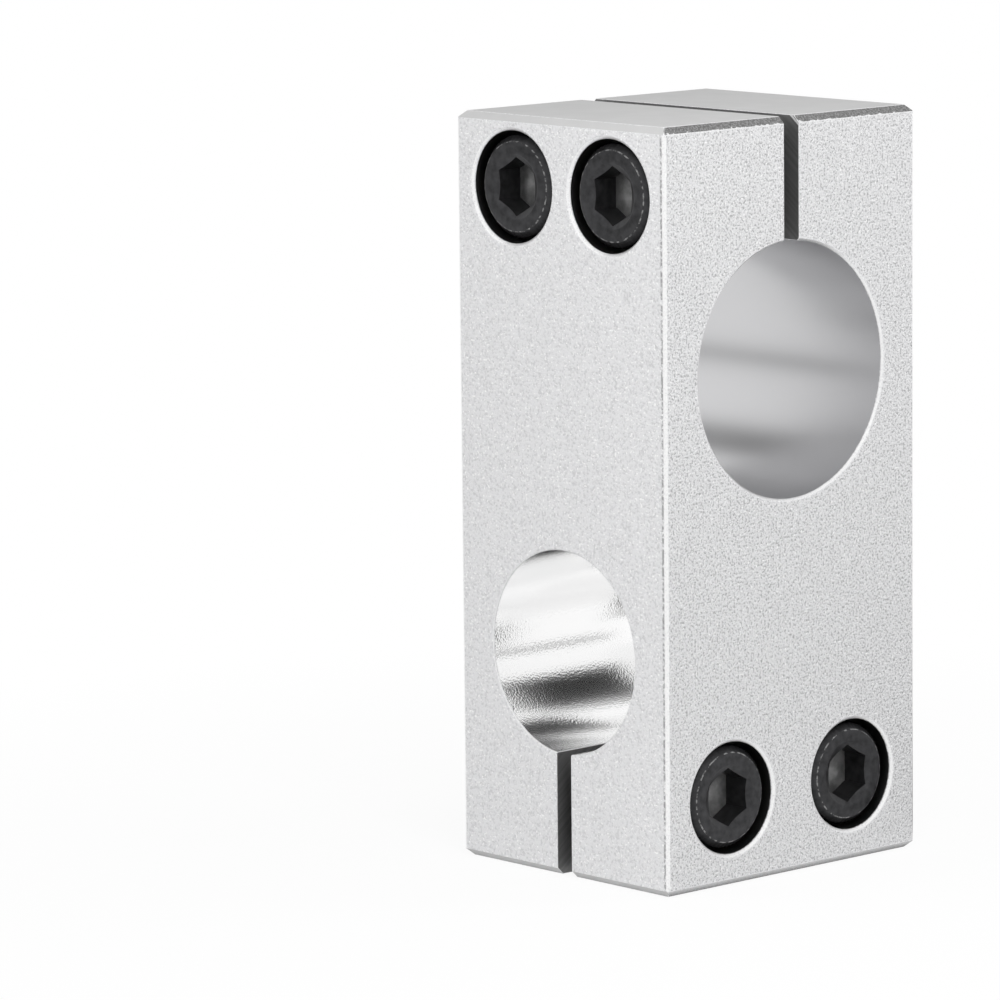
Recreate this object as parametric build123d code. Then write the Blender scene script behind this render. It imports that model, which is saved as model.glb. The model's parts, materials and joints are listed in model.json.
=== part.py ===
from build123d import *
import os

# Shaft cross clamp: one block with two crossing bores, each closed by a pair of cap screws
# +X runs along the upper bore and +Y along the lower one, and +Z is up
# The origin is the middle of the bottom face, and all sizes are millimetres

# Shafts that the clamp holds
upper_bore_d = 25.0
lower_bore_d = 20.0
bore_chamfer = 0.25

# Metal left in the block
bore_side_wall = 4.5        # each side of a bore, out to the block's face
bore_spacing_wall = 4.8     # between the two bores
upper_web = 1.9             # between the upper bore and its screws
lower_web = 0.4             # between the lower bore and its screws
upper_end_wall = 1.5        # above the upper counterbores
lower_end_wall = 3.1        # below the lower counterbores
upper_head_gap = 2.5        # between the two upper counterbores
lower_head_gap = 5.5        # between the two lower counterbores

# Finish of the block
slit_width = 2.0
end_chamfer = 0.7           # round the top and bottom faces
corner_round = 0.3          # along the four upright edges
counterbore_chamfer = 0.15  # rims of the counterbores
tapped_chamfer = 0.35       # rims of the tapped holes
seat_chamfer = 0.3          # rim of the clearance hole under each head

# Hexagon socket head cap screws
screw_d = 6.0
head_d = 10.0
head_height = 6.0
head_chamfer = 0.6          # top edge of the head
head_foot_chamfer = 0.2     # bottom edge of the head
hex_across_flats = 5.0
hex_depth = 3.0
hex_mouth = 0.3             # countersink round the corners of the hexagon
drill_point_r = 1.2         # cone in the middle of the socket's flat floor
tip_chamfer = 0.7

# How the screws sit in the block
head_recess = 0.5           # top of the head below the face
tip_recess = 2.5            # tip of the screw short of the far face
head_clearance = 0.5        # round the head
shank_clearance = 0.15      # round the shank, on the head's side of the slit
thread_clearance = 0.05     # round the shank, in the tapped side

# Sizes that follow
upper_r = upper_bore_d / 2
lower_r = lower_bore_d / 2
head_r = head_d / 2
screw_r = screw_d / 2
counterbore_r = head_r + head_clearance
shank_hole_r = screw_r + shank_clearance
tapped_hole_r = screw_r + thread_clearance
seat_depth = head_recess + head_height
block_x = lower_bore_d + 2 * bore_side_wall
block_y = upper_bore_d + 2 * bore_side_wall
lower_screw_z = lower_end_wall + counterbore_r
lower_bore_z = lower_screw_z + shank_hole_r + lower_web + lower_r
upper_bore_z = lower_bore_z + lower_r + bore_spacing_wall + upper_r
upper_screw_z = upper_bore_z + upper_r + upper_web + shank_hole_r
block_height = upper_screw_z + counterbore_r + upper_end_wall
upper_screw_x = counterbore_r + upper_head_gap / 2
lower_screw_y = counterbore_r + lower_head_gap / 2
overcut = 1.0               # how far a cutter runs past the face that it opens


def front_entry(x):
    """Where an upper screw enters the -Y face, as a plane with Z out of the block"""
    return Plane((x, -block_y / 2, upper_screw_z), x_dir=(1, 0, 0), z_dir=(0, -1, 0))


def side_entry(y):
    """Where a lower screw enters the +X face, as a plane with Z out of the block"""
    return Plane((block_x / 2, y, lower_screw_z), x_dir=(0, 1, 0), z_dir=(1, 0, 0))


# Each screw's entry plane and how far its hole runs through the block
screw_places = {
    "upper_screw_left": (front_entry(-upper_screw_x), block_y),
    "upper_screw_right": (front_entry(upper_screw_x), block_y),
    "lower_screw_left": (side_entry(-lower_screw_y), block_x),
    "lower_screw_right": (side_entry(lower_screw_y), block_x),
}


def turned(*outline):
    """A solid of revolution about Z from the outline of its right half, in radius and height"""
    return revolve(make_face(Plane.XZ * Polyline(*outline, close=True)), Axis.Z)


def bar_blank():
    """The block before drilling: a bar with rounded upright edges, chamfered round both ends"""
    bar = extrude(RectangleRounded(block_x, block_y, corner_round), block_height)
    trimmed = Box(block_x, block_y, block_height, align=(Align.CENTER, Align.CENTER, Align.MIN))
    ends = trimmed.faces().filter_by(Axis.Z)
    return bar & chamfer(ends.edges(), end_chamfer)


def shaft_bore(radius, length):
    """Cutter for a bore through the block along Z, with both rims chamfered"""
    half = length / 2
    flare = bore_chamfer + overcut
    return turned(
        (0, -half - overcut),
        (radius + flare, -half - overcut),
        (radius, -half + bore_chamfer),
        (radius, half - bore_chamfer),
        (radius + flare, half + overcut),
        (0, half + overcut),
    )


def slit(across_x, across_y, reach, side):
    """Cutter for a saw slit from a bore's axis to the block's end, up or down as the side says"""
    return Box(across_x, across_y, reach + overcut, align=(Align.CENTER, Align.CENTER, side))


def stepped_hole(length):
    """Cutter for one screw: counterbore, clearance hole up to the slit, tapped hole beyond it"""
    halfway = -length / 2
    return turned(
        (0, overcut),
        (counterbore_r + counterbore_chamfer + overcut, overcut),
        (counterbore_r, -counterbore_chamfer),
        (counterbore_r, -seat_depth),
        (shank_hole_r + seat_chamfer, -seat_depth),
        (shank_hole_r, -seat_depth - seat_chamfer),
        (shank_hole_r, halfway),
        (tapped_hole_r, halfway),
        (tapped_hole_r, -length + tapped_chamfer),
        (tapped_hole_r + tapped_chamfer + overcut, -length - overcut),
        (0, -length - overcut),
    )


def clamp_block():
    """The whole block: bored twice, slit to both ends, and drilled for the four screws"""
    upper_axis = Pos(0, 0, upper_bore_z)
    lower_axis = Pos(0, 0, lower_bore_z)
    block = bar_blank()
    block -= upper_axis * Rot(0, 90, 0) * shaft_bore(upper_r, block_x)
    block -= lower_axis * Rot(90, 0, 0) * shaft_bore(lower_r, block_y)
    block -= upper_axis * slit(block_x + overcut, slit_width, block_height - upper_bore_z, Align.MIN)
    block -= lower_axis * slit(slit_width, block_y + overcut, lower_bore_z, Align.MAX)
    for entry, hole_length in screw_places.values():
        block -= entry * stepped_hole(hole_length)
    return block


def hex_socket():
    """Cutter for the key: a hexagon with a corner towards the block's top, a countersunk mouth
    and a small drill point in its floor"""
    hexagon = RegularPolygon(hex_across_flats / 2, 6, major_radius=False, rotation=90)
    mouth_r = hexagon.radius + hex_mouth
    mouth = turned((0, 0), (mouth_r, 0), (0, -mouth_r / 2))
    drill_cone = turned((0, -hex_depth), (drill_point_r, -hex_depth), (0, -hex_depth - drill_point_r / 2))
    return extrude(hexagon, -hex_depth) + mouth + drill_cone


def cap_screw(length):
    """One screw with the top of its head at Z = 0 and its shank, as long as given, running down"""
    tip = -head_height - length
    screw = turned(
        (0, 0),
        (head_r - head_chamfer, 0),
        (head_r, -head_chamfer),
        (head_r, -head_height + head_foot_chamfer),
        (head_r - head_foot_chamfer, -head_height),
        (screw_r, -head_height),
        (screw_r, tip + tip_chamfer),
        (screw_r - tip_chamfer, tip),
        (0, tip),
    )
    return screw - hex_socket()


def seated_screw(entry, hole_length):
    """A screw in its hole, with its head on the counterbore's floor"""
    return entry * Pos(0, 0, -head_recess) * cap_screw(hole_length - seat_depth - tip_recess)


parts = {"clamp_block": clamp_block()}
for name, (entry, hole_length) in screw_places.items():
    parts[name] = seated_screw(entry, hole_length)

os.makedirs("parts", exist_ok=True)
for name, solid in parts.items():
    export_step(solid, f"parts/{name}.step")
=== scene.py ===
"""Shaft cross clamp: its blasted block with two bores, its four black cap screws, and a white studio"""
import json
import math

import bmesh
import bpy
from bpy.props import FloatProperty, FloatVectorProperty, IntProperty, PointerProperty
from mathutils import Matrix, Vector


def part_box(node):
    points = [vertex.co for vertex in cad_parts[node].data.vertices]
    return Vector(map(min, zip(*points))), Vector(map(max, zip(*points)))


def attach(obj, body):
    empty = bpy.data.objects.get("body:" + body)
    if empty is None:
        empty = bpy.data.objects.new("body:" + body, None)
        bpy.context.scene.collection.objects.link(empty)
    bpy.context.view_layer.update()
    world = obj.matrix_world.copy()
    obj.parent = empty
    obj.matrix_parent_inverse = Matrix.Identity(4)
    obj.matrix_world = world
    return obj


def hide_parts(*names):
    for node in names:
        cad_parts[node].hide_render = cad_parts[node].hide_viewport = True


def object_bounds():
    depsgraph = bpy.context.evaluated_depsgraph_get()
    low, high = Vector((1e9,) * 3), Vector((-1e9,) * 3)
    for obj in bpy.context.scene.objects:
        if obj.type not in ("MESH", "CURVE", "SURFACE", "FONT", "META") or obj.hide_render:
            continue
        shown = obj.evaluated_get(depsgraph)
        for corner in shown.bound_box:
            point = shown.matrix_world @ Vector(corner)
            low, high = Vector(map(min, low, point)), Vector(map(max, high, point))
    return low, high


bl_info = {
    "name": "Shaft cross clamp",
    "version": (1, 0, 0),
    "blender": (4, 5, 0),
    "location": "3D View > Sidebar > Clamp",
    "description": "Builds the block, the screws and the studio of a shaft cross clamp",
    "category": "Add Mesh",
}

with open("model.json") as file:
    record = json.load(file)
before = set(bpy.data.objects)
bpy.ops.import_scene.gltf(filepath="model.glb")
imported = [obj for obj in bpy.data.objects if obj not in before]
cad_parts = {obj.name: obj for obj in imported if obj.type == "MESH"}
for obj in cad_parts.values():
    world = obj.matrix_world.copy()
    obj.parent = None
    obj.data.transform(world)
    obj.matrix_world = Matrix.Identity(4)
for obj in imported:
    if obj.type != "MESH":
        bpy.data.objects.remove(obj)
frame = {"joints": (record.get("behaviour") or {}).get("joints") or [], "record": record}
CAD_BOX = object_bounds()

MM = 0.001
UP = Vector((0, 0, 1))
OVERCUT = 1 * MM
HIDDEN_RAYS = ("visible_camera", "visible_diffuse", "visible_transmission", "visible_shadow")

# A thread's cut as a share of its pitch, inside a hole and outside on a screw
INSIDE_THREAD = 0.54
OUTSIDE_THREAD = 0.613
ROWS_IN_A_TURN = 12

# Each lamp's name, place, target, side and power in watts
LAMPS = (
    ("front_key", (0.12, -0.08, 0.15), (0.0145, -0.010, 0.065), 0.08, 0.178),
    ("rear_key", (0.105, 0.125, 0.11), (0.0145, 0, 0.05), 0.06, 0.09),
    ("fill_lamp", (-0.35, -0.6, 0.35), (0, 0, 0.037), 0.5, 1.3),
)

# Each card's name, place, target, width, height, grey and soft edge
CARDS = (
    ("card_floor_dark", (0.011, 0.048, 0.0005), (0.011, 0.048, 1), 0.052, 0.062, 0.03, 0.008),
    ("card_floor_grey", (0.040, 0.085, 0.001), (0.040, 0.085, 1), 0.07, 0.10, 0.35, 0.03),
    ("card_horizon_back", (-0.37, 0.335, 0.068), (0, 0, 0.03), 0.30, 0.08, 0.2, 0.03),
    ("card_horizon_left", (-0.35, -0.355, 0.068), (0, 0, 0.03), 0.30, 0.10, 0.25, 0.03),
    ("card_up_left", (-0.28, -0.02, 0.33), (0, 0, 0.05), 0.20, 0.20, 0.15, 0.05),
    ("card_slit", (0, 0, 0.01215), (0, 0, 1), 0.0022, 0.033, 0.92, 0.0001),
    ("card_back_right", (0.238, 0.335, 0.303), (0, 0, 0.02), 0.60, 0.50, 0.9, 0.08),
)


class BlockSizes(bpy.types.PropertyGroup):
    """Edges, clearances and facet counts of the block"""

    upper_chamfer: FloatProperty(
        name="Upper bore chamfer", description="Both rims of the upper bore", default=0.25 * MM,
        unit="LENGTH")
    lower_chamfer: FloatProperty(
        name="Lower bore chamfer", description="Both rims of the lower bore", default=0.12 * MM,
        unit="LENGTH")
    slit_width: FloatProperty(
        name="Slit width", description="Saw cut from each bore to the block's end",
        default=2 * MM, unit="LENGTH")
    end_chamfer: FloatProperty(
        name="End chamfer", description="Round the top and bottom faces", default=0.7 * MM, unit="LENGTH")
    corner_round: FloatProperty(
        name="Corner rounding", description="Along the four upright edges", default=0.3 * MM,
        unit="LENGTH")
    counterbore_chamfer: FloatProperty(
        name="Counterbore chamfer", description="Rims of the counterbores", default=0.30 * MM,
        unit="LENGTH")
    tapped_chamfer: FloatProperty(
        name="Tapped hole chamfer", description="Rims of the tapped holes", default=0.35 * MM,
        unit="LENGTH")
    seat_chamfer: FloatProperty(
        name="Seat chamfer", description="Rim of the clearance hole under each head",
        default=0.3 * MM, unit="LENGTH")
    head_clearance: FloatProperty(
        name="Head clearance", description="Counterbore round the head", default=0.5 * MM, unit="LENGTH")
    shank_clearance: FloatProperty(
        name="Shank clearance", description="Round the shank up to the slit", default=0.15 * MM,
        unit="LENGTH")
    thread_clearance: FloatProperty(
        name="Thread clearance", description="Round the shank beyond the slit", default=0.05 * MM,
        unit="LENGTH")
    edge_break: FloatProperty(
        name="Edge break", description="Fine rounding that blasting leaves on every edge",
        default=0.06 * MM, unit="LENGTH")
    bore_steps: IntProperty(name="Bore steps", description="Facets round a bore", default=288, min=32)
    hole_steps: IntProperty(
        name="Hole steps", description="Facets round a screw hole", default=144, min=24)


class ScrewSizes(bpy.types.PropertyGroup):
    """Head, socket and thread of the cap screws"""

    shank_radius: FloatProperty(
        name="Shank radius", description="Over the thread's crests", default=3 * MM, unit="LENGTH")
    head_height: FloatProperty(
        name="Head height", description="From the head's seat to its top", default=6 * MM, unit="LENGTH")
    head_chamfer: FloatProperty(
        name="Head chamfer", description="Top edge of the head", default=0.6 * MM, unit="LENGTH")
    foot_chamfer: FloatProperty(
        name="Foot chamfer", description="Bottom edge of the head", default=0.2 * MM, unit="LENGTH")
    socket_width: FloatProperty(
        name="Socket width", description="Across the flats of the hexagon", default=5 * MM, unit="LENGTH")
    socket_depth: FloatProperty(
        name="Socket depth", description="Down to the hexagon's floor", default=3 * MM, unit="LENGTH")
    drill_point: FloatProperty(
        name="Drill point", description="Radius of the cone in the middle of the socket's floor",
        default=1.2 * MM, unit="LENGTH")
    socket_mouth: FloatProperty(
        name="Socket mouth", description="Countersink outside the hexagon's corners",
        default=0.3 * MM, unit="LENGTH")
    tip_chamfer: FloatProperty(
        name="Tip chamfer", description="Lead-in at the screw's end", default=0.7 * MM, unit="LENGTH")
    knurl_depth: FloatProperty(
        name="Knurl depth", description="Grooves round the head", default=0.09 * MM, unit="LENGTH")
    knurl_count: IntProperty(name="Knurl count", description="Grooves round the head", default=60, min=12)
    pitch: FloatProperty(
        name="Pitch", description="Thread advance in a turn", default=1 * MM, unit="LENGTH")
    neck: FloatProperty(
        name="Neck", description="Plain shank between head and thread", default=1.5 * MM, unit="LENGTH")


class FinishColours(bpy.types.PropertyGroup):
    """Colours of the metal surfaces, in linear light"""

    blasted_light: FloatVectorProperty(
        name="Blasted, light", description="Raised grains of the blasted faces",
        subtype="COLOR", default=(0.80, 0.80, 0.81))
    blasted_dark: FloatVectorProperty(
        name="Blasted, dark", description="Pits of the blasted faces", subtype="COLOR",
        default=(0.66, 0.66, 0.67))
    # Edge colour: painted highlight along corners and rims, partly their lighter cut metal; the painted
    # glints on the blasted faces and the painted highlight in the upper slit use it too
    edge: FloatVectorProperty(
        name="Edge", description="Corners and rims, lighter than the faces", subtype="COLOR",
        default=(0.95, 0.95, 0.95))
    # End face grey: darker than the blasted faces, painted shade on the top and bottom
    end_face_shade: FloatVectorProperty(
        name="End face", description="Top and bottom faces", subtype="COLOR", default=(0.62, 0.62, 0.62))
    # Both chamfer colours are painted shade, on the end chamfers over the wide faces only
    shaded_chamfer_light: FloatVectorProperty(
        name="Chamfer, light", description="Raised grains of the end chamfers",
        subtype="COLOR", default=(0.31, 0.31, 0.31))
    shaded_chamfer_dark: FloatVectorProperty(
        name="Chamfer, dark", description="Pits of the end chamfers", subtype="COLOR",
        default=(0.15, 0.15, 0.15))
    satin_bore: FloatVectorProperty(
        name="Satin bore", description="Turned surface of the upper bore", subtype="COLOR",
        default=(0.66, 0.66, 0.67))
    bright_bore: FloatVectorProperty(
        name="Bright bore", description="Reamed surface of the lower bore", subtype="COLOR",
        default=(0.99, 0.99, 0.99))
    # Slit walls: a dark grey that is painted shade inside the slits
    sawn_in_shade: FloatVectorProperty(
        name="Sawn", description="Walls of the slits", subtype="COLOR", default=(0.165, 0.165, 0.165))
    # Drilled holes and counterbores: a dark grey that is painted shade in these recesses
    drilled_in_shade: FloatVectorProperty(
        name="Drilled", description="Screw holes and counterbores", subtype="COLOR",
        default=(0.30, 0.30, 0.30))
    black_oxide: FloatVectorProperty(
        name="Black oxide", description="The screws' coating", subtype="COLOR",
        default=(0.037, 0.037, 0.039))
    # Lighter grey on the screws: painted light on the socket floors, and on the head's rim worn specks that
    # are also a painted highlight
    oxide_wear_and_light: FloatVectorProperty(
        name="Worn oxide", description="Rubbed places on the screws", subtype="COLOR",
        default=(0.26, 0.26, 0.26))


class StageSettings(bpy.types.PropertyGroup):
    """Camera, floor and lamps"""

    azimuth: FloatProperty(
        name="Azimuth", description="Camera's bearing, from the -Y face towards the +X face",
        default=math.radians(47.601), subtype="ANGLE")
    elevation: FloatProperty(
        name="Elevation", description="Camera above the horizon", default=math.radians(8.746),
        subtype="ANGLE")
    roll: FloatProperty(
        name="Roll", description="Camera turned about its own view",
        default=math.radians(-0.584), subtype="ANGLE")
    aim: FloatVectorProperty(
        name="Aim", description="Point at the picture's centre", subtype="XYZ", unit="LENGTH",
        default=(-12.30 * MM, -13.82 * MM, 35.47 * MM))
    distance: FloatProperty(
        name="Distance", description="From the aim to the camera", default=595.75 * MM, unit="LENGTH")
    lens: FloatProperty(
        name="Lens", description="Focal length on the sensor, in millimetres", default=217.9)
    floor_size: FloatProperty(
        name="Floor size", description="Side of the square floor", default=4.0, unit="LENGTH")


def box_between(low, high):
    """The eight corners of a box between two corners, as a bmesh"""
    mesh = bmesh.new()
    size = Vector(high) - Vector(low)
    middle = (Vector(high) + Vector(low)) / 2
    bmesh.ops.create_cube(mesh, size=1, matrix=Matrix.Translation(middle) @ Matrix.Diagonal((*size, 1)))
    return mesh


def piece(name, mesh, *finishes):
    """A new object in the scene from a bmesh, with its finishes in its material slots"""
    data = bpy.data.meshes.new(name)
    mesh.to_mesh(data)
    mesh.free()
    made = bpy.data.objects.new(name, data)
    for finish in finishes:
        data.materials.append(finish)
    bpy.context.scene.collection.objects.link(made)
    return made


def circle(radius, height, steps):
    """A ring of points about Z. The radius and height may be numbers or functions of the angle"""
    ring = []
    for step in range(steps):
        angle = math.tau * step / steps
        r = radius(angle) if callable(radius) else radius
        z = height(angle) if callable(height) else height
        ring.append(Vector((r * math.cos(angle), r * math.sin(angle), z)))
    return ring


def skin(mesh, rings, place, second_finish=(), third_finish=()):
    """Joins rings of points, from the first to the last, and closes both ends with a fan.
    A ring with fewer points than the one before it takes several of its edges on each of its own.
    The bands whose numbers are in second_finish wear the piece's second finish, and so on"""
    rows = [[mesh.verts.new(place @ point) for point in ring] for ring in rings]
    for band, (row, following) in enumerate(zip(rows, rows[1:])):
        share = len(row) // len(following)
        for step in range(len(following)):
            near = [row[(step * share + extra) % len(row)] for extra in range(share + 1)]
            far = [following[(step + 1) % len(following)], following[step]]
            face = mesh.faces.new(near + far)
            face.material_index = (band in second_finish) + 2 * (band in third_finish)
    for row, ring, turn in ((rows[0], rings[0], -1), (rows[-1], rings[-1], 1)):
        tip = mesh.verts.new(place @ (sum(ring, Vector()) / len(ring)))
        for step in range(len(row)):
            pair = (row[step], row[(step + 1) % len(row)])
            mesh.faces.new((tip, *pair[::turn]))
    bmesh.ops.recalc_face_normals(mesh, faces=mesh.faces)


def turned(outline, steps, place, second_finish=()):
    """A solid of revolution about the place's Z from an outline of radii and heights"""
    mesh = bmesh.new()
    skin(mesh, [circle(radius, height, steps) for radius, height in outline], place, second_finish)
    return mesh


def thread_form(pitch, depth):
    """How deep a thread is cut at an angle and a height, as a function: a right-hand vee with flats"""
    root_flat, flank = 0.25, 0.625

    def depth_at(angle, height):
        phase = (height / pitch - angle / math.tau) % 1
        from_root = abs(phase - 0.5) * 2
        rise = min(max((from_root - root_flat) / flank, 0), 1)
        return depth * (1 - rise)

    return depth_at


def seat_of(joint):
    """A screw's place in the block: its origin on the face that it enters, Z out of the block"""
    outward = Vector(joint["axis"])
    across = UP.cross(outward)
    turn = Matrix((across, UP, outward)).transposed()
    return Matrix.Translation(joint["pos_m"]) @ turn.to_4x4()


def screw_facts(joint):
    """The screw's node, its place, and its head's radius, head's top and tip along the place's Z"""
    node = frame["record"]["behaviour"]["bodies"][joint["child"]][0]
    seat = seat_of(joint)
    corners = [seat.inverted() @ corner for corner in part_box(node)]
    breadth = abs(corners[1].x - corners[0].x)
    return {
        "node": node,
        "body": joint["child"],
        "seat": seat,
        "head_radius": breadth / 2,
        "head_top": max(corner.z for corner in corners),
        "tip": min(corner.z for corner in corners),
    }


def block_facts():
    """The block's two corners and its bores, each with its centre, axis, radius and slit direction"""
    low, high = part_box("clamp_block")
    middle = (low + high) / 2
    bores = []
    for mount in frame["record"]["mounts"]:
        if mount["kind"] != "clamp":
            continue
        centre = Vector(mount["pos_m"])
        axis = Vector(mount["axis"])
        bores.append({
            "name": mount["name"],
            "centre": centre,
            "axis": axis,
            "radius": mount["dims"]["r_mm"] * MM,
            "length": abs((high - low).dot(axis)),
            "slit_end": UP if centre.z > middle.z else -UP,
        })
    return low, high, bores


# Materials

def new_finish(name, metallic, roughness):
    """A material, its node tree and its main shader, with the constant values set on the shader"""
    finish = bpy.data.materials.new(name)
    finish.use_nodes = True
    shader = finish.node_tree.nodes["Principled BSDF"]
    shader.inputs["Metallic"].default_value = metallic
    shader.inputs["Roughness"].default_value = roughness
    return finish, finish.node_tree, shader


def place_on_object(tree):
    """Coordinates in metres in the part's own frame"""
    return tree.nodes.new("ShaderNodeTexCoord").outputs["Object"]


def axes(tree):
    """The same coordinates as three values, by name"""
    split = tree.nodes.new("ShaderNodeSeparateXYZ")
    tree.links.new(place_on_object(tree), split.inputs["Vector"])
    return split.outputs


def noise(tree, where, grain, detail=2.0, dimensions="3D"):
    """Noise with grains of the given size, between 0 and 1"""
    texture = tree.nodes.new("ShaderNodeTexNoise")
    texture.noise_dimensions = dimensions
    texture.inputs["Scale"].default_value = 1 / grain
    texture.inputs["Detail"].default_value = detail
    tree.links.new(where, texture.inputs["W" if dimensions == "1D" else "Vector"])
    return texture.outputs["Fac"]


def spread(tree, value, low, high, to_low=0.0, to_high=1.0):
    """Stretches the range low to high over another range, and clips it there"""
    stretch = tree.nodes.new("ShaderNodeMapRange")
    names = ("From Min", "From Max", "To Min", "To Max")
    for name, number in zip(names, (low, high, to_low, to_high)):
        stretch.inputs[name].default_value = number
    tree.links.new(value, stretch.inputs["Value"])
    return stretch.outputs["Result"]


def blend(tree, amount, first, second):
    """A colour between two, by an amount from 0 to 1. The first may also be a node's output"""
    mix = tree.nodes.new("ShaderNodeMix")
    mix.data_type = "RGBA"
    if isinstance(first, bpy.types.NodeSocket):
        tree.links.new(first, mix.inputs["A"])
    else:
        mix.inputs["A"].default_value = (*first, 1)
    mix.inputs["B"].default_value = (*second, 1)
    tree.links.new(amount, mix.inputs["Factor"])
    return mix.outputs["Result"]


def paint(tree, shader, colour):
    """Gives the shader a colour that changes over the surface"""
    tree.links.new(colour, shader.inputs["Base Color"])


def scaled(colour, share):
    """A colour made darker or lighter by a share"""
    return tuple(share * part for part in colour)


def relief(tree, shader, height, depth):
    """Adds bump of the given depth in metres, on top of what the shader already has"""
    bump = tree.nodes.new("ShaderNodeBump")
    bump.inputs["Distance"].default_value = depth
    tree.links.new(height, bump.inputs["Height"])
    before = shader.inputs["Normal"].links
    if before:
        tree.links.new(before[0].from_socket, bump.inputs["Normal"])
    tree.links.new(bump.outputs["Normal"], shader.inputs["Normal"])


def reckon(tree, operation, first, second=0):
    """One arithmetic step on two values, either of which may be a number"""
    step = tree.nodes.new("ShaderNodeMath")
    step.operation = operation
    for socket, value in zip(step.inputs, (first, second)):
        if isinstance(value, (int, float)):
            socket.default_value = value
        else:
            tree.links.new(value, socket)
    return step.outputs["Value"]


def stripe(tree, offset, core, edge):
    """1 where the offset is less than the core on either side of zero, fading to 0 at the edge"""
    return spread(tree, reckon(tree, "ABSOLUTE", offset), core, edge, 1.0, 0.0)


def blasted_aluminium(colours, name, dark, grain, depth):
    """Bead-blasted and clear anodised: pits of the given colour, grain and depth, and sparse bright specks
    that are painted glints.
    A broken dark line of painted shade runs down the narrow faces, just beside their corners with the +X
    face"""
    line_inset = 0.42 * MM
    line_core, line_edge = 0.08 * MM, 0.20 * MM
    shade_line_strength = 0.75
    finish, tree, shader = new_finish(name, 0.35, 0.5)
    where = place_on_object(tree)
    pits = noise(tree, where, grain, 2)
    # Sparse specks in the edge colour: painted glints of light
    painted_glints = noise(tree, where, 0.22 * MM, 0)
    base = blend(tree, spread(tree, pits, 0.34, 0.50), dark, colours.blasted_light)
    with_painted_glints = blend(tree, spread(tree, painted_glints, 0.68, 0.74), base, colours.edge)
    # A broken dark line beside the corners with the +X face: painted shade
    beside = reckon(tree, "SUBTRACT", axes(tree)["X"], CAD_BOX[1].x - line_inset)
    line = stripe(tree, beside, line_core, line_edge)
    dots = spread(tree, noise(tree, where, 0.30 * MM, 2), 0.40, 0.55, 0.0, shade_line_strength)
    broken_shade_line = reckon(tree, "MULTIPLY", line, dots)
    paint(tree, shader, blend(tree, broken_shade_line, with_painted_glints, scaled(colours.blasted_dark, 0.35)))
    relief(tree, shader, pits, depth)
    return finish


def edge_tone_and_highlight(colours):
    """Upright corners and the rims of bores and holes: painted brighter than the blasted faces as the
    highlight along each edge, and on the chamfered rims also the lighter bare metal of the cut
    """
    finish, tree, shader = new_finish("edge_tone_and_highlight", 0.8, 0.4)
    grains = noise(tree, place_on_object(tree), 0.18 * MM, 2)
    paint(tree, shader, blend(tree, spread(tree, grains, 0.3, 0.5), colours.blasted_light, colours.edge))
    relief(tree, shader, grains, 0.01 * MM)
    return finish


def milled_end_shade(colours):
    """The block's top and bottom faces, and the end chamfers over the narrow faces: plain and matt, a
    little cloudy, and painted a darker grey than the blasted faces as shade
    """
    finish, tree, shader = new_finish("milled_end_shade", 0.2, 0.6)
    shader.inputs["Specular IOR Level"].default_value = 0
    where = place_on_object(tree)
    clouds = spread(tree, noise(tree, where, 3 * MM, 2), 0.3, 0.7)
    paint(tree, shader, blend(tree, clouds, scaled(colours.end_face_shade, 0.96), colours.end_face_shade))
    relief(tree, shader, noise(tree, where, 0.15 * MM, 2), 0.001 * MM)
    return finish


def milled_chamfer_shade(colours, width):
    """The end chamfers over the wide faces: a coarser cut, painted darker than the same chamfers over the
    narrow faces as shade, whose lower edge at the top of the block is ragged where the blasted face runs
    over it"""
    raggedness = 0.9 * MM
    ragged_low, ragged_high = -0.46 * MM, -0.40 * MM
    finish, tree, shader = new_finish("milled_chamfer_shade", 0.6, 0.5)
    where = place_on_object(tree)
    height = axes(tree)["Z"]
    pits = noise(tree, where, 0.2 * MM, 3)
    # Dark greys on these chamfers: painted shade
    base = blend(tree, spread(tree, pits, 0.42, 0.60), colours.shaded_chamfer_dark, colours.shaded_chamfer_light)
    above = reckon(tree, "SUBTRACT", height, CAD_BOX[1].z - width)
    ragged = reckon(tree, "MULTIPLY", noise(tree, where, 0.5 * MM, 3), raggedness)
    left_over = spread(tree, reckon(tree, "SUBTRACT", above, ragged), ragged_low, ragged_high, 1.0, 0.0)
    upper_end = spread(tree, height, 0, 1 * MM)
    run_over = reckon(tree, "MULTIPLY", left_over, upper_end)
    paint(tree, shader, blend(tree, run_over, base, colours.blasted_light))
    relief(tree, shader, pits, 0.03 * MM)
    return finish


def turned_finish(name, colour, roughness, axis, centre, grain_depth=0.0, paired=False):
    """A surface left by a turning tool: fine rings about an axis, along it and across its end faces.
    Paired holes share one finish, with rings about each. A grain depth adds fine pits"""
    ring_depth = 0.0003 * MM
    finish, tree, shader = new_finish(name, 1.0, roughness)
    shader.inputs["Base Color"].default_value = (*colour, 1)
    split = axes(tree)
    if abs(axis.x) > abs(axis.y):
        along, across, offset = split["X"], split["Y"], abs(centre.y)
    else:
        along, across, offset = split["Y"], split["X"], abs(centre.x)
    if paired:
        across = reckon(tree, "ABSOLUTE", across)
    sideways = reckon(tree, "SUBTRACT", across, offset)
    upward = reckon(tree, "SUBTRACT", split["Z"], centre.z)
    squares = reckon(tree, "ADD", reckon(tree, "POWER", sideways, 2), reckon(tree, "POWER", upward, 2))
    rings = noise(tree, reckon(tree, "ADD", along, reckon(tree, "SQRT", squares)), 0.12 * MM, 3, "1D")
    relief(tree, shader, rings, ring_depth)
    if grain_depth:
        relief(tree, shader, noise(tree, place_on_object(tree), 0.20 * MM, 0), grain_depth)
    return finish


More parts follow.
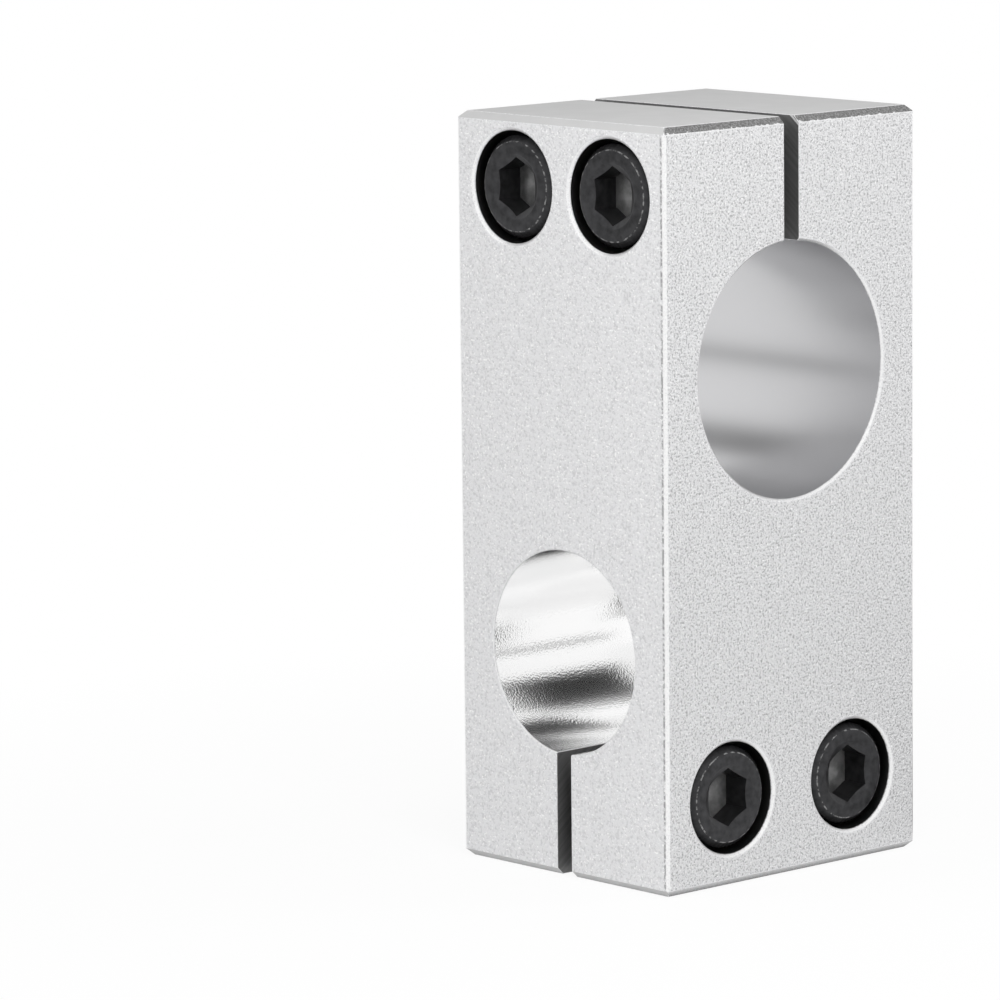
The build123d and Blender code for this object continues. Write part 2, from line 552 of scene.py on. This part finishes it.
def sawn_shade_and_highlight(colours):
    """Walls of the slits: painted dark as the shade in the narrow slits, with slanting marks of the saw's
    teeth, and one bright stripe near the top of the upper slit that is a painted highlight"""
    slope = 0.8
    highlight_drop = 1.7 * MM
    finish, tree, shader = new_finish("sawn_shade_and_highlight", 0.6, 0.45)
    split = axes(tree)
    inward = reckon(tree, "SUBTRACT", split["X"], split["Y"])
    slant = reckon(tree, "ADD", split["Z"], reckon(tree, "MULTIPLY", inward, slope))
    marks = noise(tree, slant, 0.5 * MM, 3, "1D")
    base = blend(tree, spread(tree, marks, 0.35, 0.65), colours.sawn_in_shade, scaled(colours.sawn_in_shade, 1.25))
    mouth = CAD_BOX[1].z + slope * CAD_BOX[1].x
    # A bright stripe in the edge colour: painted highlight
    painted_highlight = stripe(tree, reckon(tree, "SUBTRACT", slant, mouth - highlight_drop), 0.10 * MM, 0.18 * MM)
    paint(tree, shader, blend(tree, painted_highlight, base, colours.edge))
    relief(tree, shader, marks, 0.01 * MM)
    return finish


def black_oxide(colours):
    """The screws' black oxide: near black, a little oily, with faint mottling and a fine grain"""
    finish, tree, shader = new_finish("black_oxide", 0.75, 0.38)
    where = place_on_object(tree)
    mottle = noise(tree, where, 0.7 * MM, 4)
    deep, worn = scaled(colours.black_oxide, 0.7), scaled(colours.black_oxide, 1.5)
    paint(tree, shader, blend(tree, spread(tree, mottle, 0.3, 0.7), deep, worn))
    tree.links.new(spread(tree, mottle, 0.3, 0.7, 0.30, 0.46), shader.inputs["Roughness"])
    relief(tree, shader, noise(tree, where, 0.08 * MM, 2), 0.003 * MM)
    return finish


def oxide_wear_and_light(colours):
    """The floor of a socket, painted a lighter grey as the light that falls into it"""
    finish, tree, shader = new_finish("oxide_wear_and_light", 0.5, 0.4)
    mottle = spread(tree, noise(tree, place_on_object(tree), 1.2 * MM, 3), 0.35, 0.65)
    paint(tree, shader, blend(tree, mottle, scaled(colours.oxide_wear_and_light, 0.5), colours.oxide_wear_and_light))
    return finish


def rim_wear_and_highlight(colours):
    """The edge of the head's top: specks where the black oxide is worn, which also stand as a painted
    highlight along the edge
    """
    finish, tree, shader = new_finish("rim_wear_and_highlight", 0.75, 0.38)
    patches = spread(tree, noise(tree, place_on_object(tree), 0.5 * MM, 4), 0.46, 0.60)
    paint(tree, shader, blend(tree, patches, colours.black_oxide, colours.oxide_wear_and_light))
    return finish


# The block

def upright(edge):
    """Whether an edge of a box stands along Z"""
    across = edge.verts[0].co - edge.verts[1].co
    return abs(across.z) > abs(across.x) + abs(across.y)


def facing_x(face):
    """Whether a face looks along X more than any other way"""
    face.normal_update()
    return abs(face.normal.x) > 0.5


def rounded_bar(sizes, low, high):
    """The block before drilling: a bar with rounded upright edges, which wear the second finish,
    and longer than the block. Its wide faces wear the third finish"""
    bar = box_between(low - UP * OVERCUT, high + UP * OVERCUT)
    for face in bar.faces:
        face.material_index = 2 if facing_x(face) else 0
    corners = [edge for edge in bar.edges if upright(edge)]
    bmesh.ops.bevel(
        bar, geom=corners, offset=sizes.corner_round, segments=6, profile=0.5, affect="EDGES", material=1)
    return bar


def end_trim(sizes, low, high):
    """A box that trims the bar's ends and chamfers them. Both it and its chamfers are wider than the bar"""
    spare = 2 * MM
    wider = Vector((spare, spare, 0))
    box = box_between(low - wider, high + wider)
    level = [edge for edge in box.edges if not upright(edge)]
    bmesh.ops.bevel(
        box, geom=level, offset=sizes.end_chamfer + spare, segments=1, profile=0.5, affect="EDGES")
    for face in box.faces:
        # Chamfers that face X take the second finish, whose dark grey is painted shade
        face.material_index = 1 if facing_x(face) and abs(face.normal.x) < 0.9 else 0
    return box


def bore_cutter(sizes, bore, chamfer):
    """Cutter for a shaft bore with both rims chamfered"""
    half = bore["length"] / 2
    radius = bore["radius"]
    flare = radius + chamfer + OVERCUT
    outline = [
        (flare, -half - OVERCUT),
        (radius, -half + chamfer),
        (radius, half - chamfer),
        (flare, half + OVERCUT),
    ]
    place = Matrix.Translation(bore["centre"]) @ bore["axis"].to_track_quat("Z", "Y").to_matrix().to_4x4()
    return turned(outline, sizes.bore_steps, place, second_finish=(0, 2))


def slit_cutter(sizes, bore, low, high):
    """Cutter for the saw slit from a bore's axis out through the end of the block"""
    sideways = UP.cross(bore["axis"])
    half_width = sideways * sizes.slit_width / 2
    half_length = bore["axis"] * (bore["length"] / 2 + OVERCUT)
    end_height = (high.z if bore["slit_end"].z > 0 else low.z) - bore["centre"].z
    reach = UP * end_height + bore["slit_end"] * OVERCUT
    corners = [bore["centre"] - half_width - half_length, bore["centre"] + half_width + half_length + reach]
    return box_between(*[Vector(map(pick, *corners)) for pick in (min, max)])


def hole_cutter(sizes, screws, facts, length):
    """Cutter for one screw: counterbore, clearance hole up to the slit, tapped hole beyond it.
    The thread is cut only in the empty stretch beyond the screw's tip"""
    counterbore = facts["head_radius"] + sizes.head_clearance
    clearance_hole = screws.shank_radius + sizes.shank_clearance
    tapped = screws.shank_radius + sizes.thread_clearance
    seat = facts["head_top"] - screws.head_height
    middle = -length / 2
    past_the_tip = 0.25 * MM
    thread_start = facts["tip"] - past_the_tip
    thread_end = -length + sizes.tapped_chamfer
    crest = tapped - INSIDE_THREAD * screws.pitch
    cut_at = thread_form(screws.pitch, INSIDE_THREAD * screws.pitch)
    rings = [
        (counterbore + sizes.counterbore_chamfer + OVERCUT, OVERCUT),
        (counterbore, -sizes.counterbore_chamfer),
        (counterbore, seat),
        (clearance_hole + sizes.seat_chamfer, seat),
        (clearance_hole, seat - sizes.seat_chamfer),
        (clearance_hole, middle),
        (tapped, middle),
        (tapped, thread_start),
    ]
    rows = ROWS_IN_A_TURN * round((thread_start + length) / screws.pitch)
    for row in range(1, rows):
        height = thread_start + (thread_end - thread_start) * row / rows
        countersink = tapped - (height - thread_end)

        def ridge(angle, height=height, countersink=countersink):
            return max(crest + cut_at(angle, height), countersink)

        rings.append((ridge, height))
    rings.append((tapped, thread_end))
    rings.append((tapped + sizes.tapped_chamfer + OVERCUT, -length - OVERCUT))
    rims = (0, len(rings) - 2)
    return turned(rings, sizes.hole_steps, facts["seat"], rims)


def cut(target, cutter, operation="DIFFERENCE"):
    """Takes a cutter out of the target, or keeps what both share, and deletes the cutter"""
    boolean = target.modifiers.new(cutter.name, "BOOLEAN")
    boolean.operation = operation
    boolean.solver = "EXACT"
    boolean.material_mode = "TRANSFER"
    boolean.object = cutter
    shaped = bpy.data.meshes.new_from_object(target.evaluated_get(bpy.context.evaluated_depsgraph_get()))
    target.modifiers.clear()
    before = target.data
    target.data = shaped
    bpy.data.meshes.remove(before)
    bpy.data.meshes.remove(cutter.data)


def break_edges(target, width, keep_sharp):
    """Rounds the edges a little, apart from those that keep_sharp names, and merges doubled points"""
    sharp = math.radians(25)
    mesh = bmesh.new()
    mesh.from_mesh(target.data)
    bmesh.ops.remove_doubles(mesh, verts=mesh.verts, dist=0.0005 * MM)
    edges = [
        edge for edge in mesh.edges
        if edge.is_manifold and edge.calc_face_angle() > sharp and not keep_sharp(edge)
    ]
    bmesh.ops.bevel(
        mesh, geom=edges, offset=width, segments=2, profile=0.5, affect="EDGES", clamp_overlap=True)
    mesh.to_mesh(target.data)
    mesh.free()


def smooth_by_angle(target, degrees):
    """Smooth shading with sharp edges only where faces meet at more than the angle"""
    mesh = bmesh.new()
    mesh.from_mesh(target.data)
    for face in mesh.faces:
        face.smooth = True
    for edge in mesh.edges:
        edge.smooth = edge.is_manifold and edge.calc_face_angle() < math.radians(degrees)
    mesh.to_mesh(target.data)
    mesh.free()


# The screws

def screw_rings(sizes, facts):
    """The rings of points that make one cap screw, from its socket's bottom out and down to its tip"""
    head_steps = 4 * sizes.knurl_count
    shank_steps = head_steps // 3
    top = facts["head_top"]
    foot = top - sizes.head_height
    floor = top - sizes.socket_depth
    flats = sizes.socket_width / 2
    mouth = flats / math.cos(math.radians(30)) + sizes.socket_mouth
    head = facts["head_radius"]
    soft = 0.06 * MM
    fillet = 0.25 * MM

    def hexagon(angle):
        turn = (angle - math.radians(90)) % math.radians(60)
        return flats / math.cos(turn - math.radians(30))

    def countersink(angle):
        return top - (mouth - hexagon(angle)) / 2

    def knurled(angle):
        return head - sizes.knurl_depth * (0.5 - 0.5 * math.cos(angle * sizes.knurl_count))

    outline = [
        (0.05 * MM, floor - sizes.drill_point / 2),
        (sizes.drill_point, floor),
        (hexagon, floor),
        (hexagon, countersink),
        (mouth - soft, top - soft / 2),
        (mouth, top - soft / 8),
        (mouth + soft, top),
        (head - sizes.head_chamfer - soft, top),
        (head - sizes.head_chamfer, top - soft / 4),
        (head - sizes.head_chamfer + soft, top - soft),
        (knurled, top - sizes.head_chamfer),
        (knurled, foot + sizes.foot_chamfer + 4 * soft),
        (head, foot + sizes.foot_chamfer + 2 * soft),
        (head, foot + sizes.foot_chamfer),
        (head - sizes.foot_chamfer, foot),
    ]
    rings = [circle(radius, height, head_steps) for radius, height in outline]
    shank = sizes.shank_radius
    for step in range(4):
        turn = math.radians(90) * step / 3
        radius = shank + fillet * (1 - math.sin(turn))
        rings.append(circle(radius, foot - fillet * (1 - math.cos(turn)), shank_steps))
    thread_top = foot - sizes.neck
    tip = facts["tip"]
    cut_at = thread_form(sizes.pitch, OUTSIDE_THREAD * sizes.pitch)
    rows = round(ROWS_IN_A_TURN * (thread_top - tip) / sizes.pitch)
    for row in range(rows + 1):
        height = thread_top + (tip - thread_top) * row / rows
        run_in = min((thread_top - height) / sizes.pitch, 1)
        cone = shank - sizes.tip_chamfer + (height - tip)

        def crest(angle, height=height, run_in=run_in, cone=cone):
            return min(shank - run_in * cut_at(angle, height), cone)

        rings.append(circle(crest, height, shank_steps))
    return rings


class CLAMP_OT_build_block(bpy.types.Operator):
    """Builds the clamp block: bar, bores, slits and screw holes, each with its own finish"""

    bl_idname = "clamp.build_block"
    bl_label = "Build clamp block"

    def execute(self, context):
        sizes = context.scene.clamp_block_sizes
        screws = context.scene.clamp_screw_sizes
        colours = context.scene.clamp_finish_colours
        low, high, bores = block_facts()
        edge = edge_tone_and_highlight(colours)
        fine = blasted_aluminium(colours, "blasted_fine", colours.blasted_dark, 0.26 * MM, 0.12 * MM)
        # The wide faces take a copy of the same blasted finish with deeper bump and with pits painted
        # darker: painted shade for the raking light on them
        pit_shade = scaled(colours.blasted_dark, 0.72)
        pit_shaded = blasted_aluminium(colours, "blasted_pit_shaded", pit_shade, 0.23 * MM, 0.30 * MM)
        block = piece("cross_clamp_block", rounded_bar(sizes, low, high), fine, edge, pit_shaded)
        ends = (milled_end_shade(colours), milled_chamfer_shade(colours, sizes.end_chamfer))
        cut(block, piece("end_trim", end_trim(sizes, low, high), *ends), "INTERSECT")
        sawn_in_shade = sawn_shade_and_highlight(colours)
        # Each bore's colour, roughness, depth of grain and chamfer
        bore_looks = {
            "upper_shaft": (colours.satin_bore, 0.32, 0.0, sizes.upper_chamfer),
            "lower_shaft": (colours.bright_bore, 0.13, 0.008 * MM, sizes.lower_chamfer),
        }
        for bore in bores:
            name = bore["name"]
            colour, roughness, grain, chamfer = bore_looks[name]
            finish = turned_finish(name + "_bore", colour, roughness, bore["axis"], bore["centre"], grain)
            cut(block, piece(name + "_cutter", bore_cutter(sizes, bore, chamfer), finish, edge))
            cut(block, piece(name + "_slit", slit_cutter(sizes, bore, low, high), sawn_in_shade))
        finishes = {}
        axes_of_holes = []
        for joint in frame["joints"]:
            facts = screw_facts(joint)
            outward = Vector(joint["axis"])
            entry = facts["seat"].translation
            pair = joint["name"].split("_")[0]
            if pair not in finishes:
                # The holes' dark grey is painted shade
                finishes[pair] = turned_finish(
                    pair + "_screw_holes", colours.drilled_in_shade, 0.35, outward, entry, paired=True)
            length = abs((high - low).dot(outward))
            cutter = hole_cutter(sizes, screws, facts, length)
            cut(block, piece(facts["node"] + "_hole", cutter, finishes[pair], edge))
            axes_of_holes.append((entry, outward))
        spare = 0.2 * MM
        thread_zone = screws.shank_radius + sizes.thread_clearance + spare

        def in_screw_hole(edge):
            middle = (edge.verts[0].co + edge.verts[1].co) / 2
            return any((middle - entry).cross(axis).length < thread_zone for entry, axis in axes_of_holes)

        if sizes.edge_break > 0:
            break_edges(block, sizes.edge_break, in_screw_hole)
        smooth_by_angle(block, 32)
        weigh = block.modifiers.new("flat faces stay flat", "WEIGHTED_NORMAL")
        weigh.keep_sharp = True
        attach(block, "block")
        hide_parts("clamp_block")
        return {"FINISHED"}


class CLAMP_OT_build_screws(bpy.types.Operator):
    """Builds the four hexagon socket cap screws with knurled heads and cut threads"""

    bl_idname = "clamp.build_screws"
    bl_label = "Build cap screws"

    def execute(self, context):
        sizes = context.scene.clamp_screw_sizes
        colours = context.scene.clamp_finish_colours
        finishes = (black_oxide(colours), oxide_wear_and_light(colours), rim_wear_and_highlight(colours))
        # The socket floor wears painted light; the head's rim wears worn specks with a painted highlight
        socket_floor = (0, 1)
        head_rim = (7, 8)
        for joint in frame["joints"]:
            facts = screw_facts(joint)
            mesh = bmesh.new()
            skin(mesh, screw_rings(sizes, facts), facts["seat"], socket_floor, head_rim)
            screw = piece("cap_" + facts["node"], mesh, *finishes)
            smooth_by_angle(screw, 35)
            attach(screw, facts["body"])
            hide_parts(facts["node"])
        return {"FINISHED"}


# The stage

def background_rays(tree):
    """1 where the camera, a reflection or glass looks, and 0 for the rays that light things"""
    path = tree.nodes.new("ShaderNodeLightPath")
    seen = reckon(tree, "MAXIMUM", path.outputs["Is Camera Ray"], path.outputs["Is Glossy Ray"])
    return reckon(tree, "MAXIMUM", seen, path.outputs["Is Transmission Ray"])


def glow_over(tree, amount, under, grey):
    """Lays an even grey glow over a shader, by an amount from 0 to 1, as the material's surface"""
    glow = tree.nodes.new("ShaderNodeEmission")
    glow.inputs["Color"].default_value = (grey, grey, grey, 1)
    mix = tree.nodes.new("ShaderNodeMixShader")
    tree.links.new(amount, mix.inputs["Fac"])
    tree.links.new(under, mix.inputs[1])
    tree.links.new(glow.outputs["Emission"], mix.inputs[2])
    tree.links.new(mix.outputs["Shader"], tree.nodes["Material Output"].inputs["Surface"])


def white_world():
    """White where the camera, a reflection or glass looks, and a softer light elsewhere"""
    world = bpy.data.worlds.new("studio")
    bpy.context.scene.world = world
    world.use_nodes = True
    tree = world.node_tree
    background = tree.nodes["Background"]
    background.inputs["Color"].default_value = (1, 1, 1, 1)
    tree.links.new(spread(tree, background_rays(tree), 0, 1, 0.45, 1.0), background.inputs["Strength"])


def pale_floor(size):
    """The white floor: shows as white to the camera and keeps the part's soft shadow"""
    floor_mesh = bmesh.new()
    bmesh.ops.create_grid(floor_mesh, x_segments=1, y_segments=1, size=size / 2)
    finish, tree, shader = new_finish("pale_floor", 0.0, 0.9)
    shader.inputs["Base Color"].default_value = (0.86, 0.86, 0.86, 1)
    shader.inputs["Specular IOR Level"].default_value = 0
    distance = tree.nodes.new("ShaderNodeVectorMath")
    distance.operation = "LENGTH"
    tree.links.new(place_on_object(tree), distance.inputs[0])
    plain = spread(tree, distance.outputs["Value"], 0.02, 0.12, 0.92, 1.0)
    amount = reckon(tree, "MULTIPLY", background_rays(tree), plain)
    glow_over(tree, amount, shader.outputs["BSDF"], 1)
    floor = piece("floor", floor_mesh, finish)
    floor.location.z = -0.01 * MM


def aimed(place, target):
    """A matrix at a place whose -Z looks at a target"""
    turn = (Vector(target) - Vector(place)).to_track_quat("-Z", "Y")
    return Matrix.Translation(place) @ turn.to_matrix().to_4x4()


def softbox(name, place, target, side, power):
    """A square area lamp, which reflections leave out"""
    lamp = bpy.data.lights.new(name, "AREA")
    lamp.shape = "RECTANGLE"
    lamp.size = side
    lamp.size_y = side
    lamp.energy = power
    made = bpy.data.objects.new(name, lamp)
    made.matrix_world = aimed(place, target)
    made.visible_glossy = False
    bpy.context.scene.collection.objects.link(made)


def card(name, place, target, width, height, grey, soft_edge):
    """A grey card that only reflections see, as a photographer hangs beside bright metal.
    It fades out over its soft edge"""
    sheet = bmesh.new()
    bmesh.ops.create_grid(sheet, x_segments=1, y_segments=1, size=0.5)
    bmesh.ops.transform(sheet, matrix=Matrix.Diagonal((width, height, 1, 1)), verts=sheet.verts)
    finish = bpy.data.materials.new(name)
    finish.use_nodes = True
    tree = finish.node_tree
    tree.nodes.remove(tree.nodes["Principled BSDF"])
    across = axes(tree)
    fades = [
        stripe(tree, across[side], extent / 2 - soft_edge, extent / 2)
        for side, extent in (("X", width), ("Y", height))
    ]
    clear = tree.nodes.new("ShaderNodeBsdfTransparent")
    glow_over(tree, reckon(tree, "MULTIPLY", *fades), clear.outputs["BSDF"], grey)
    finish.cycles.emission_sampling = "NONE"
    made = piece(name, sheet, finish)
    made.matrix_world = aimed(place, target)
    for ray in HIDDEN_RAYS:
        setattr(made, ray, False)


def camera(settings):
    """The camera at the photograph's viewing angle"""
    lens = bpy.data.cameras.new("camera")
    lens.lens = settings.lens
    lens.sensor_width = 36
    lens.clip_end = 10
    made = bpy.data.objects.new("camera", lens)
    azimuth, elevation = settings.azimuth, settings.elevation
    back = Vector((
        math.sin(azimuth) * math.cos(elevation),
        -math.cos(azimuth) * math.cos(elevation),
        math.sin(elevation),
    ))
    place = Vector(settings.aim) + back * settings.distance
    made.matrix_world = aimed(place, settings.aim) @ Matrix.Rotation(settings.roll, 4, "Z")
    bpy.context.scene.collection.objects.link(made)
    bpy.context.scene.camera = made


class CLAMP_OT_build_stage(bpy.types.Operator):
    """Builds the white studio: world, floor, lamps, grey cards and camera"""

    bl_idname = "clamp.build_stage"
    bl_label = "Build stage"

    def execute(self, context):
        settings = context.scene.clamp_stage_settings
        context.scene.view_settings.view_transform = "Standard"
        white_world()
        pale_floor(settings.floor_size)
        for lamp in LAMPS:
            softbox(*lamp)
        for facts in CARDS:
            card(*facts)
        camera(settings)
        return {"FINISHED"}


class CLAMP_PT_panel(bpy.types.Panel):
    """Lists the clamp's builders in the sidebar"""

    bl_idname = "CLAMP_PT_panel"
    bl_label = "Shaft cross clamp"
    bl_space_type = "VIEW_3D"
    bl_region_type = "UI"
    bl_category = "Clamp"

    def draw(self, context):
        for operator in (CLAMP_OT_build_block, CLAMP_OT_build_screws, CLAMP_OT_build_stage):
            self.layout.operator(operator.bl_idname)
        for settings in SETTINGS:
            group = getattr(context.scene, settings)
            box = self.layout.box()
            for name in group.bl_rna.properties.keys():
                if name not in ("rna_type", "name"):
                    box.prop(group, name)


SETTINGS = {
    "clamp_block_sizes": BlockSizes,
    "clamp_screw_sizes": ScrewSizes,
    "clamp_finish_colours": FinishColours,
    "clamp_stage_settings": StageSettings,
}
CLASSES = (
    *SETTINGS.values(), CLAMP_OT_build_block, CLAMP_OT_build_screws, CLAMP_OT_build_stage, CLAMP_PT_panel)


def register():
    """Adds the classes, and the settings to the scene"""
    for added in CLASSES:
        bpy.utils.register_class(added)
    for name, group in SETTINGS.items():
        setattr(bpy.types.Scene, name, PointerProperty(type=group))


def unregister():
    """Takes the settings and the classes away again"""
    for name in SETTINGS:
        delattr(bpy.types.Scene, name)
    for added in reversed(CLASSES):
        bpy.utils.unregister_class(added)


def main():
    """Builds everything"""
    register()
    bpy.ops.clamp.build_block()
    bpy.ops.clamp.build_screws()
    bpy.ops.clamp.build_stage()


if __name__ == "__main__":
    main()
